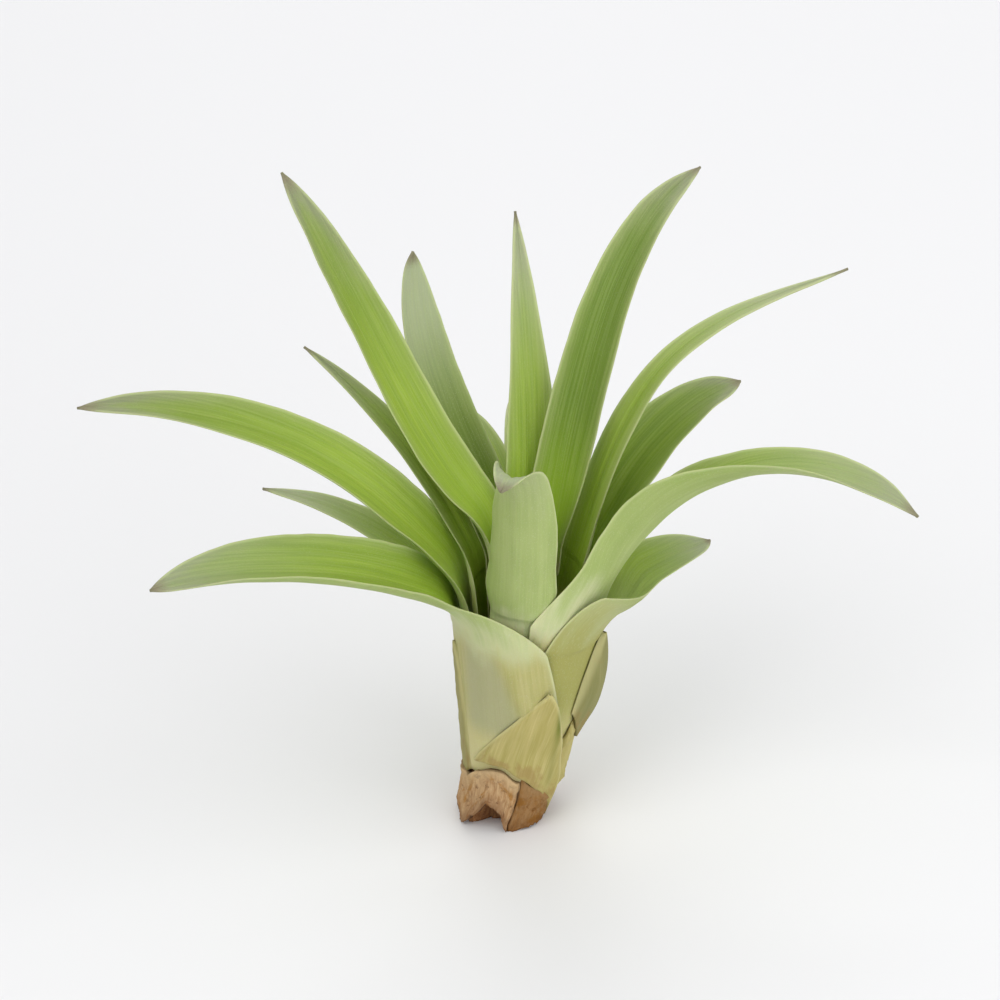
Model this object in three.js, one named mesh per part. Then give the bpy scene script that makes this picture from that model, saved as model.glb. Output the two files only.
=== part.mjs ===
// Tillandsia abdita, a small air plant that stands on its own broken stem.
// A short woody stem carries torn brown husks at its foot, clasping outer scales above
// them, and a rosette of channelled leaves, each leaf with its sheath round the stem.
// Millimetres, +Z up. The origin is the middle of the flat broken foot, on the surface
// that the plant stands on. +X is to the viewer's right, +Y is away from the viewer.
import * as THREE from "three";

// Whole plant
const LEAN = 11; // degrees, the stalk leans towards +X above its flat foot
const STALK_OFFSET = 1.2; // the stalk's axis stands this far to the right of the foot's middle
const FOOT_BLEND = 8; // height over which the foot's middle passes over to the stalk's axis
const GROUND_BLEND = 12; // height over which level rings turn square to the leaning axis

// Sheaths lie in layers round the stem: 0 for the outermost wide sheaths, higher for the
// younger ones inside them, -1 for the scales, husks and one narrow leaf outside them
const REFERENCE_HEIGHT = 38; // height along the stalk at which LAYER_RADIUS holds
const LAYER_RADIUS = 13; // middle of layer 0's wall at that height
const LAYER_STEP = 0.9; // each layer lies this much further in
const FLARE = 0.155; // growth of a sheath's radius with height
const OUTER_LAYER = -1;
const SHEATH_WALL = 0.6;
const LOWEST_SHEATH = 10; // height at which the sheaths of layers -1 and 0 start
const SHEATH_CLIMB = 3.25; // each layer further in starts this much higher
const STEM_TOP = 46;
const POINT_WRAP = 3; // half angle in degrees of a scale's blunt point
const THROAT_CLASP = 0.67; // share of its wrap that a sheath still has where its blade leaves it

// Leaf blades
const MIDRIB = 1.1; // thickness in the middle of a blade near its base
const EDGE = 0.6; // thickness at the margins and at the tip
const TIP_WIDTH = 0.9;
const CHANNEL_RADIUS = 6.2; // radius of the U-shaped channel, halfway up a blade
const DEEPEST_ARC = 1.4; // half angle in radians of the deepest channel in a blade
const UNROLL = 0.14; // share of the blade in which it turns from the sheath's rise to its own
const CHANNEL_DELAY = 1.8; // a blade's channel is formed this many times as far up as its opening

const SHEATH_ROWS = 5;
const BLADE_ROWS = 12;
const LEAF_COLUMNS = 4;

const radians = THREE.MathUtils.degToRad;
const { lerp, clamp, smoothstep } = THREE.MathUtils;
const SHEATH_RISE = THREE.MathUtils.radToDeg(Math.atan(1 / FLARE));

// Leaves from the outermost to the youngest. azimuth: degrees, 0 is +X and 90 is +Y.
// throat: height at which the blade leaves the sheath. wrap: half angle of the sheath at
// its bottom. skew: degrees by which the sheath's middle lies to one side of its blade.
// clasp: share of the wrap left at the throat. opening: share of the blade over which it
// narrows from the sheath. rises: the blade's slope in degrees at even steps from base to
// tip. swing: degrees by which the tip turns round the stem. late: power by which
// the swing gathers towards the tip. roll: turn about the midrib. fullness: how long the
// blade keeps its width before it tapers. One leaf, rolled into a deep channel, gives its
// widths, bends (radii of the channel) and rolls at even steps from base to tip instead.
const LEAVES = [
  { name: "leaf_left_low", azimuth: 197, layer: 0, throat: 37, wrap: 125, clasp: 0.66,
    length: 60, width: 15, rises: [28, 20, 13, 6, -1, -12], roll: -14, fullness: 4,
    columns: 12 },
  { name: "leaf_right_low", azimuth: 15, layer: 1, throat: 37, wrap: 64, skew: -32, clasp: 0.76,
    opening: 0.2, length: 25, width: 12, rises: [40, 26, 14, 8, 4], swing: 20, roll: 10,
    fullness: 3, columns: 12 },
  { name: "leaf_left_back", azimuth: 150, layer: OUTER_LAYER, throat: 34, wrap: 14,
    length: 42.5, width: 9.5, rises: [34, 20, 11, 2, -8], roll: -5, fullness: 2, columns: 6 },
  { name: "leaf_right_arching", azimuth: 346, layer: 2, throat: 42.5, wrap: 68, skew: -14,
    clasp: 1, length: 67, rises: [64, 54, 38, 20, 0, -16, -36], columns: 10,
    widths: [28.2, 20, 18, 17.6, 15.8, 13, 11.4, 10, 8.4, 5.6, TIP_WIDTH],
    bends: [11.9, 10.6, 8.4, 6.8, 6.2, 6, 6, 6, 5.6, 5, 4],
    rolls: [0, -2.4, -16, -22, -20, -16, -10, -4, 4, 10, 10] },
  { name: "leaf_left_arching", azimuth: 176, layer: 2, throat: 38, wrap: 36, length: 80, width: 12,
    rises: [48, 40, 27, 15, 3, -12], roll: -26, fullness: 3 },
  { name: "leaf_back_right_low", azimuth: 90, layer: 2, throat: 41, wrap: 15, length: 44, width: 9,
    rises: [40, 22, 8, -4, -16], fullness: 2.5 },
  { name: "leaf_front", azimuth: 250, layer: 3.5, throat: 43, wrap: 40, length: 39, width: 14,
    rises: [80, 78, 76, 76, 66, 40, -50], swing: -10, late: 4, fullness: 5 },
  { name: "leaf_back_low", azimuth: 106, layer: 3, throat: 43, wrap: 56, length: 44, width: 9,
    rises: [38, 22, 6, -8, -22], fullness: 2.5 },
  { name: "leaf_right_broad", azimuth: 33, layer: 4.2, throat: 45, wrap: 30, length: 44, width: 12,
    rises: [62, 52, 38, 20, 0], roll: 22, fullness: 4 },
  { name: "leaf_left_narrow", azimuth: 157, layer: 4, throat: 43, wrap: 50, length: 49.5, width: 7.8,
    rises: [59, 50, 43, 36, 28], roll: -13, fullness: 2 },
  { name: "leaf_back_middle", azimuth: 88, layer: 5, throat: 45, wrap: 38, length: 44, width: 7,
    rises: [60, 46, 34, 26, 20], fullness: 2 },
  { name: "leaf_left_tall", azimuth: 161, layer: 8, throat: 48, wrap: 50, length: 75, width: 10.4,
    rises: [45, 55, 59, 58, 58, 55], roll: -31, fullness: 4.3 },
  { name: "leaf_right_narrow", azimuth: 22, layer: 7, throat: 47, wrap: 50, length: 74, width: 7.5,
    rises: [78, 72, 58, 36, 18, 12, 14], roll: 10, fullness: 1.3 },
  { name: "leaf_back_left_blunt", azimuth: 134, layer: 6, throat: 46, wrap: 30, length: 54.3,
    width: 11.7, rises: [51, 51, 58, 73, 95], roll: -9, fullness: 5 },
  { name: "leaf_right_tall", azimuth: 54, layer: 11, throat: 50, wrap: 50, length: 75, width: 10.5,
    rises: [80, 74, 70, 58, 38, 14, 2], roll: 10, fullness: 3 },
  { name: "leaf_back_upright", azimuth: 101, layer: 9.7, throat: 53, wrap: 30, length: 52, width: 12,
    rises: [80, 68, 60, 56, 52], fullness: 1 },
  { name: "heart_leaf_left", azimuth: 205, layer: 12, throat: 50, wrap: 70, length: 13, width: 5,
    rises: [84, 82, 80], fullness: 1.5 },
  { name: "heart_leaf_right", azimuth: 285, layer: 13, throat: 51, wrap: 70, length: 9, width: 4.5,
    rises: [84, 82, 80], fullness: 1.5 },
];

// Outer scales, short leaf bases that hug the stalk up to a point. low: heights of the foot
// from one side to the other. wrap: half angle at the foot. skew: degrees by which the point
// turns round the stalk. lift: how far the point stands off. tapers: powers by which the left
// and the right margin draw in towards the point.
const SCALES = [
  { name: "scale_front", azimuth: 270, wrap: 56, skew: 14, lift: 0, top: 30, columns: 7,
    tapers: [1, 0.7], low: [12.6, 13.8, 13.9, 11.8, 9, 5.2, 0.4] },
  { name: "scale_right", azimuth: 345, layer: 0, wrap: 26, skew: -6, lift: 0.1, top: 38,
    columns: 5, low: [23, 19, 16, 17, 22] },
  { name: "scale_left", azimuth: 188, wrap: 20, skew: 2, lift: 0, top: 34, columns: 4,
    low: [9, 8, 10] },
  { name: "scale_back", azimuth: 90, wrap: 42, skew: -20, lift: 0.3, top: 28, columns: 6,
    low: [7, 7, 9] },
  { name: "scale_back_right", azimuth: 25, wrap: 17, skew: 0, lift: 0.3, top: 24, columns: 3,
    low: [8, 8] },
];

// Dry torn husks round the foot. low and high: heights of the ragged edges from one side to
// the other, at even steps.
const HUSKS = [
  { name: "husk_front_left", azimuth: 221, wrap: 46, low: [0, 0, 0.5, 2.6, 5.6, 4.4, 0],
    high: [4.6, 6, 8.6, 10.8, 12.6, 12.4, 10.6] },
  { name: "husk_front_right", azimuth: 295, wrap: 25, low: [0, 0.5, 0], high: [10.4, 7, 1.4] },
  { name: "husk_right", azimuth: 342, layer: 0, wrap: 32, low: [3.8, 3.6, 3.6, 3.6, 3.8],
    high: [9.2, 9.4, 12.8, 12.2, 9] },
  { name: "husk_back", azimuth: 62, wrap: 41, low: [0, 0.6, 0.2, 0], high: [5, 6, 4.6, 6] },
  { name: "husk_left", azimuth: 139, wrap: 33, low: [0, 0.5, 0], high: [6, 6, 7] },
];

// The woody stem: height and radius from the broken foot to the growing tip.
const STEM_PROFILE = [
  [0, 7.1], [1.5, 7.2], [3.5, 7.1], [5.5, 7.3], [9, 7.5], [13, 7.5], [16, 7], [20, 6.8],
  [24, 6.4], [30, 5.6], [36, 4.7], [40, 3.8], [42, 3], [44, 2.2], [STEM_TOP, 1.2],
];
const STEM_SIDES = 32;
// Where wood broke out of the foot: half width in degrees, depth inwards and top height.
const NOTCH = { azimuth: 240, halfWidth: 34, depth: 3.4, top: 5 };

// The rolled youngest leaf: height and radius along the axis.
const BUD_PROFILE = [[47, 1.2], [49, 1.9], [54, 1.8], [60, 1.2], [64, 0.4]];

// A leaf's place in the stack of layers: radius of its sheath's middle at a height.
function layerRadius(layer, height) {
  const atReference = LAYER_RADIUS - LAYER_STEP * layer;
  return atReference + FLARE * (height - REFERENCE_HEIGHT);
}

// Height at which a layer's sheath starts, clear of the stem that narrows upwards.
function layerFoot(layer) {
  return clamp(LOWEST_SHEATH + SHEATH_CLIMB * layer, LOWEST_SHEATH, STEM_TOP);
}

// Value at t from 0 to 1 along a list of evenly spaced values.
function along(values, t) {
  const place = clamp(t, 0, 1) * (values.length - 1);
  const first = Math.min(Math.floor(place), values.length - 2);
  return lerp(values[first], values[first + 1], place - first);
}

// Direction in space of a slope and an azimuth, both in degrees.
function direction(rise, azimuth) {
  const level = Math.cos(radians(rise));
  const x = level * Math.cos(radians(azimuth));
  const y = level * Math.sin(radians(azimuth));
  return new THREE.Vector3(x, y, Math.sin(radians(rise)));
}

// Width, channel radius and roll of a blade that opens from its sheath and tapers to its tip.
function bladeForm(leaf, t) {
  const { clasp = THROAT_CLASP, opening = UNROLL, roll = 0 } = leaf;
  const throatRadius = layerRadius(leaf.layer, leaf.throat);
  const throatHalf = radians(leaf.wrap) * clasp;
  const blade = Math.max(leaf.width * (1 - t ** leaf.fullness) ** 0.8, TIP_WIDTH);
  const width = lerp(2 * throatHalf * throatRadius, blade, smoothstep(t, 0, opening));
  const channel = lerp(1, 0.6, smoothstep(t, 0.3, 1)) * CHANNEL_RADIUS;
  const unrolled = smoothstep(t, 0, CHANNEL_DELAY * opening);
  const deepest = lerp(Math.max(throatHalf, DEEPEST_ARC), DEEPEST_ARC, unrolled);
  const radius = Math.max(lerp(throatRadius, channel, unrolled), width / (2 * deepest));
  return { width, radius, roll: roll * smoothstep(t, 0, 0.3) };
}

// The same for a leaf that gives them as lists.
function givenForm(leaf, t) {
  return { width: along(leaf.widths, t), radius: along(leaf.bends, t), roll: along(leaf.rolls, t) };
}

// Cross-sections of a leaf from the foot of its sheath to its tip. plane is the slope to
// which a section is square: upright in the sheath, so that the layers stay round.
function leafSections(leaf) {
  const { clasp = THROAT_CLASP, opening = UNROLL, swing = 0, late = 1 } = leaf;
  const skew = radians(leaf.skew ?? 0);
  const sections = [];
  const foot = layerFoot(leaf.layer);
  for (let row = 0; row < SHEATH_ROWS; row++) {
    const share = row / SHEATH_ROWS;
    const height = lerp(foot, leaf.throat, share);
    const radius = layerRadius(leaf.layer, height);
    const centre = direction(0, leaf.azimuth).multiplyScalar(radius).setZ(height);
    const halfWrap = radians(leaf.wrap) * lerp(1, clasp, share);
    sections.push({ centre, plane: 90, azimuth: leaf.azimuth, roll: 0, skew,
      width: 2 * halfWrap * radius, radius, thickness: SHEATH_WALL });
  }
  const throatRadius = layerRadius(leaf.layer, leaf.throat);
  const point = direction(0, leaf.azimuth).multiplyScalar(throatRadius).setZ(leaf.throat);
  const steps = BLADE_ROWS * 10;
  for (let step = 0; step <= steps; step++) {
    const t = step / steps;
    const rise = t < UNROLL
      ? lerp(SHEATH_RISE, leaf.rises[0], t / UNROLL)
      : along(leaf.rises, (t - UNROLL) / (1 - UNROLL));
    const azimuth = leaf.azimuth + swing * t ** late;
    if (step % 10 === 0) {
      const form = leaf.widths ? givenForm(leaf, t) : bladeForm(leaf, t);
      sections.push({ centre: point.clone(), plane: lerp(90, rise, smoothstep(t, 0, UNROLL)),
        azimuth, skew: skew * (1 - smoothstep(t, 0, opening)), ...form,
        thickness: t < 0.1 ? lerp(SHEATH_WALL, MIDRIB, t / 0.1) : lerp(MIDRIB, EDGE, t) });
    }
    point.addScaledVector(direction(rise, azimuth), leaf.length / steps);
  }
  return sections;
}

// Outer and inner rows of points across one section.
function sectionRows(section, columns) {
  const tangent = direction(section.plane, section.azimuth);
  const inward = direction(section.plane + 90, section.azimuth);
  inward.applyAxisAngle(tangent, radians(section.roll));
  const across = new THREE.Vector3().crossVectors(inward, tangent);
  const halfAngle = section.width / (2 * section.radius);
  const axis = section.centre.clone().addScaledVector(inward, section.radius);
  const outer = [];
  const inner = [];
  for (let column = 0; column <= columns; column++) {
    const v = (2 * column) / columns - 1;
    const angle = section.skew + halfAngle * v;
    const out = across.clone().multiplyScalar(Math.sin(angle));
    out.addScaledVector(inward, -Math.cos(angle));
    const wall = lerp(section.thickness, EDGE, v * v);
    outer.push(axis.clone().addScaledVector(out, section.radius + wall / 2));
    inner.push(axis.clone().addScaledVector(out, section.radius - wall / 2));
  }
  return { outer, inner };
}

// Closed solid between an outer and an inner grid of points, rows from foot to tip.
function shellGeometry(outerRows, innerRows) {
  const rows = outerRows.length;
  const columns = outerRows[0].length;
  const positions = [...outerRows.flat(), ...innerRows.flat()].flatMap((p) => [p.x, p.y, p.z]);
  const outer = (row, column) => row * columns + column;
  const inner = (row, column) => rows * columns + outer(row, column);
  const index = [];
  const quad = (a, b, c, d) => index.push(a, b, c, a, c, d);
  for (let row = 0; row < rows - 1; row++) {
    for (let column = 0; column < columns - 1; column++) {
      quad(outer(row, column), outer(row, column + 1),
        outer(row + 1, column + 1), outer(row + 1, column));
      index.push(inner(row, column), inner(row + 1, column + 1), inner(row, column + 1));
      index.push(inner(row, column), inner(row + 1, column), inner(row + 1, column + 1));
    }
    quad(outer(row, 0), outer(row + 1, 0), inner(row + 1, 0), inner(row, 0));
    const last = columns - 1;
    quad(outer(row + 1, last), outer(row, last), inner(row, last), inner(row + 1, last));
  }
  const top = rows - 1;
  for (let column = 0; column < columns - 1; column++) {
    quad(outer(0, column + 1), outer(0, column), inner(0, column), inner(0, column + 1));
    quad(outer(top, column), outer(top, column + 1), inner(top, column + 1), inner(top, column));
  }
  const geometry = new THREE.BufferGeometry();
  geometry.setAttribute("position", new THREE.Float32BufferAttribute(positions, 3));
  geometry.setIndex(index);
  geometry.computeVertexNormals();
  return geometry;
}

function leafGeometry(leaf) {
  const columns = leaf.columns ?? LEAF_COLUMNS;
  const rows = leafSections(leaf).map((section) => sectionRows(section, columns));
  return shellGeometry(rows.map((row) => row.outer), rows.map((row) => row.inner));
}

// A point of the stalk. Near the ground the rings are level and centred on the foot.
function stalkPoint(azimuth, radius, height) {
  const offset = STALK_OFFSET * (1 - smoothstep(height, 0, FOOT_BLEND));
  const x = radius * Math.cos(radians(azimuth)) - offset;
  const y = radius * Math.sin(radians(azimuth));
  const level = Math.tan(radians(LEAN)) * (1 - smoothstep(height, 0, GROUND_BLEND));
  return new THREE.Vector3(x, y, height + x * level);
}

// A plate that hugs the stalk: a scale with a point, or a torn husk.
function plateGeometry(plate) {
  const { layer = OUTER_LAYER, skew = 0, lift = 0, tapers = [0.5, 0.5], top, high } = plate;
  const columns = plate.columns ?? plate.low.length - 1;
  const rows = high ? 3 : 6;
  const outerRows = [];
  const innerRows = [];
  for (let row = 0; row <= rows; row++) {
    const v = row / rows;
    const outer = [];
    const inner = [];
    for (let column = 0; column <= columns; column++) {
      const u = column / columns;
      const taper = (1 - v) ** tapers[u < 0.5 ? 0 : 1];
      const half = high ? plate.wrap : Math.max(plate.wrap * taper, POINT_WRAP);
      const azimuth = plate.azimuth + skew * v + half * (2 * u - 1);
      const height = lerp(along(plate.low, u), high ? along(high, u) : top, v);
      const radius = layerRadius(layer, height) + lift * v ** 3;
      outer.push(stalkPoint(azimuth, radius + SHEATH_WALL / 2, height));
      inner.push(stalkPoint(azimuth, radius - SHEATH_WALL / 2, height));
    }
    outerRows.push(outer);
    innerRows.push(inner);
  }
  return shellGeometry(outerRows, innerRows);
}

// Closed solid of stacked rings, each ring a list of points seen from above anticlockwise.
function ringsGeometry(rings) {
  const sides = rings[0].length;
  const points = rings.flat();
  const index = [];
  for (let ring = 0; ring < rings.length - 1; ring++) {
    for (let side = 0; side < sides; side++) {
      const a = ring * sides + side;
      const b = ring * sides + ((side + 1) % sides);
      index.push(a, b, b + sides, a, b + sides, a + sides);
    }
  }
  const middle = (ring) => {
    const sum = ring.reduce((total, p) => total.add(p), new THREE.Vector3());
    return sum.divideScalar(sides);
  };
  const bottom = points.push(middle(rings[0])) - 1;
  const top = points.push(middle(rings[rings.length - 1])) - 1;
  const last = (rings.length - 1) * sides;
  for (let side = 0; side < sides; side++) {
    const next = (side + 1) % sides;
    index.push(bottom, next, side, top, last + side, last + next);
  }
  const geometry = new THREE.BufferGeometry();
  const positions = points.flatMap((p) => [p.x, p.y, p.z]);
  geometry.setAttribute("position", new THREE.Float32BufferAttribute(positions, 3));
  geometry.setIndex(index);
  geometry.computeVertexNormals();
  return geometry;
}

function stemRings() {
  return STEM_PROFILE.map(([height, radius]) => {
    const ring = [];
    for (let side = 0; side < STEM_SIDES; side++) {
      const azimuth = (360 * side) / STEM_SIDES;
      const fromNotch = Math.abs(azimuth - NOTCH.azimuth) / NOTCH.halfWidth;
      const inNotch = (1 - smoothstep(fromNotch, 0.4, 1)) * (1 - smoothstep(height, 2, NOTCH.top));
      ring.push(stalkPoint(azimuth, radius - NOTCH.depth * inNotch, height));
    }
    return ring;
  });
}

function budRings() {
  return BUD_PROFILE.map(([height, radius]) => {
    const azimuths = [0, 60, 120, 180, 240, 300];
    return azimuths.map((azimuth) => stalkPoint(azimuth + height * 4, radius, height));
  });
}

const leafGreen = new THREE.MeshStandardMaterial({ color: 0x93b254, roughness: 0.7 });
const heartGreen = new THREE.MeshStandardMaterial({ color: 0xa9c468, roughness: 0.65 });
const scaleKhaki = new THREE.MeshStandardMaterial({ color: 0xb9b680, roughness: 0.75 });
const huskTan = new THREE.MeshStandardMaterial({ color: 0xb08a5e, roughness: 0.9 });
const stemBrown = new THREE.MeshStandardMaterial({ color: 0x6e4d33, roughness: 0.9 });

const plant = new THREE.Group();
plant.name = "tillandsia_abdita";
const stalk = new THREE.Group();
stalk.position.x = STALK_OFFSET;
stalk.rotation.y = radians(LEAN);
plant.add(stalk);

function addPiece(name, geometry, material) {
  const mesh = new THREE.Mesh(geometry, material);
  mesh.name = name;
  stalk.add(mesh);
}

addPiece("stem", ringsGeometry(stemRings()), stemBrown);
for (const husk of HUSKS) addPiece(husk.name, plateGeometry(husk), huskTan);
for (const scale of SCALES) addPiece(scale.name, plateGeometry(scale), scaleKhaki);
for (const leaf of LEAVES) {
  addPiece(leaf.name, leafGeometry(leaf), leaf.name.startsWith("heart") ? heartGreen : leafGreen);
}
addPiece("heart_bud", ringsGeometry(budRings()), heartGreen);

export default plant;
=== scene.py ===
import math
import random

import bpy
import numpy as np
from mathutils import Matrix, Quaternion, Vector


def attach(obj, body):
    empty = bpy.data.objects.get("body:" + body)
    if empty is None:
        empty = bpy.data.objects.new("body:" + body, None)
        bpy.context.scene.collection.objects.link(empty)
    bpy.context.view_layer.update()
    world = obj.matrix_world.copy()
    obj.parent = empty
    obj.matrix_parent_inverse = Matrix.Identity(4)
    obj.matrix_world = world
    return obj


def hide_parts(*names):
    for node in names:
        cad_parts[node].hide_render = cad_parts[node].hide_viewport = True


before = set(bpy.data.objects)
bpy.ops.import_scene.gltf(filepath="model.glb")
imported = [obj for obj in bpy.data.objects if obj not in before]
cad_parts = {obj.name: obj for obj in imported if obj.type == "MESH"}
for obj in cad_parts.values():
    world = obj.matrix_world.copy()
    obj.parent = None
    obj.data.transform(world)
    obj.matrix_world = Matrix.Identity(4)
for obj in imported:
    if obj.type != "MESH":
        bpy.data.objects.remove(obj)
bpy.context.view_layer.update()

# Lengths are millimetres and angles are degrees, as in the part's source, and meshes are made
# in metres. The camera and the lamps are placed in metres.
MM = 0.001


# Camera


def place_camera():
    """Looks down at the plant from where the photograph was taken, with its slight roll."""
    eye = Vector((0.0, -0.701, 0.4608))
    toward = Vector((0.00739, 0.86816, -0.49622))
    lens_mm = 176
    roll_deg = 7.44
    data = bpy.data.cameras.new("camera")
    data.sensor_width = 36
    data.lens = lens_mm
    data.clip_start, data.clip_end = 0.01, 20
    camera = bpy.data.objects.new("camera", data)
    bpy.context.scene.collection.objects.link(camera)
    camera.rotation_mode = "QUATERNION"
    camera.location = eye
    level = toward.to_track_quat("-Z", "Y")
    camera.rotation_quaternion = Quaternion(toward, math.radians(roll_deg)) @ level
    bpy.context.scene.camera = camera


place_camera()


# Finishes


def srgb(red, green, blue):
    """A colour as the eye reads it, 0 to 255 each, turned into the numbers that shaders use."""
    def linear(c):
        c /= 255
        return c / 12.92 if c <= 0.04045 else ((c + 0.055) / 1.055) ** 2.4

    return (linear(red), linear(green), linear(blue), 1.0)


class Value:
    """A number that varies over a surface. Arithmetic on it adds the Math nodes."""

    def __init__(self, finish, socket):
        self.finish, self.socket = finish, socket

    def __add__(self, other):
        return self.finish.math("ADD", self, other)

    def __sub__(self, other):
        return self.finish.math("SUBTRACT", self, other)

    def __rsub__(self, other):
        return self.finish.math("SUBTRACT", other, self)

    def __mul__(self, other):
        return self.finish.math("MULTIPLY", self, other)

    __radd__, __rmul__ = __add__, __mul__

    def clamped(self):
        return self.finish.math("ADD", self, 0.0, clamp=True)

    def rise(self, low, high):
        """0 below low, 1 above high, smooth between; falls instead where low is above high."""
        node = self.finish.node(
            "ShaderNodeMapRange", {"interpolation_type": "SMOOTHSTEP"}, self, low, high, 0.0, 1.0)
        return Value(self.finish, node.outputs[0])


class Finish:
    """A surface finish, a material whose nodes are added by the calls below."""

    def __init__(self, name):
        self.material = bpy.data.materials.new(name)
        self.material.use_nodes = True
        self.tree = self.material.node_tree
        self.shader = self.tree.nodes["Principled BSDF"]

    def node(self, kind, settings, *by_place, **by_name):
        """A new node: its settings first, then the values or links of its sockets."""
        node = self.tree.nodes.new(kind)
        for key, setting in settings.items():
            setattr(node, key, setting)
        for place, given in enumerate(by_place):
            self.put(node.inputs[place], given)
        self.put_by_name(node, by_name)
        return node

    def put(self, socket, given):
        if isinstance(given, Value):
            given = given.socket
        if isinstance(given, bpy.types.NodeSocket):
            self.tree.links.new(given, socket)
        else:
            socket.default_value = given

    def put_by_name(self, node, sockets):
        """Fills sockets by their names, written with _ for each space."""
        for name, given in sockets.items():
            self.put(node.inputs[name.replace("_", " ")], given)

    def math(self, operation, *terms, clamp=False):
        node = self.node("ShaderNodeMath", {"operation": operation, "use_clamp": clamp}, *terms)
        return Value(self, node.outputs[0])

    def numbers(self, *names):
        """The numbers of these names that a piece carries on its surface."""
        return [Value(self, self.node("ShaderNodeAttribute", {"attribute_name": name}).outputs["Fac"])
                for name in names]

    def place(self, stretch):
        """Where the surface point lies, in millimetres across and along the piece, stretched."""
        where = self.node("ShaderNodeAttribute", {"attribute_name": "grain"})
        node = self.node("ShaderNodeVectorMath", {"operation": "MULTIPLY"},
                         where.outputs["Vector"], stretch)
        return node.outputs[0]

    def noise(self, stretch, detail=2.0, rough=0.5, twist=0.0):
        """Noise from 0 to 1. stretch: features per millimetre across and along the piece."""
        node = self.node("ShaderNodeTexNoise", {}, Vector=self.place(stretch), Scale=1.0,
                         Detail=detail, Roughness=rough, Distortion=twist)
        return Value(self, node.outputs[0])

    def cells(self, stretch):
        """Distance from the middle of the nearest of many small cells."""
        node = self.node("ShaderNodeTexVoronoi", {}, Vector=self.place(stretch), Scale=1.0)
        return Value(self, node.outputs["Distance"])

    def mix(self, under, over, share):
        """One colour laid over another. The colours are a Mix node's sockets 6, 7 and 2."""
        node = self.node("ShaderNodeMix", {"data_type": "RGBA"}, share)
        self.put(node.inputs[6], under)
        self.put(node.inputs[7], over)
        return node.outputs[2]

    def coats(self, ground, *coats):
        """A ground colour with coats laid over it in turn, each a colour and the share it covers."""
        for colour, share in coats:
            ground = self.mix(ground, colour, share)
        return ground

    def relief(self, height, depth_mm):
        node = self.node("ShaderNodeBump", {}, Distance=depth_mm * MM, Height=height)
        self.put(self.shader.inputs["Normal"], node.outputs[0])

    def surface(self, **sockets):
        self.put_by_name(self.shader, sockets)
        return self.material


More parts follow.
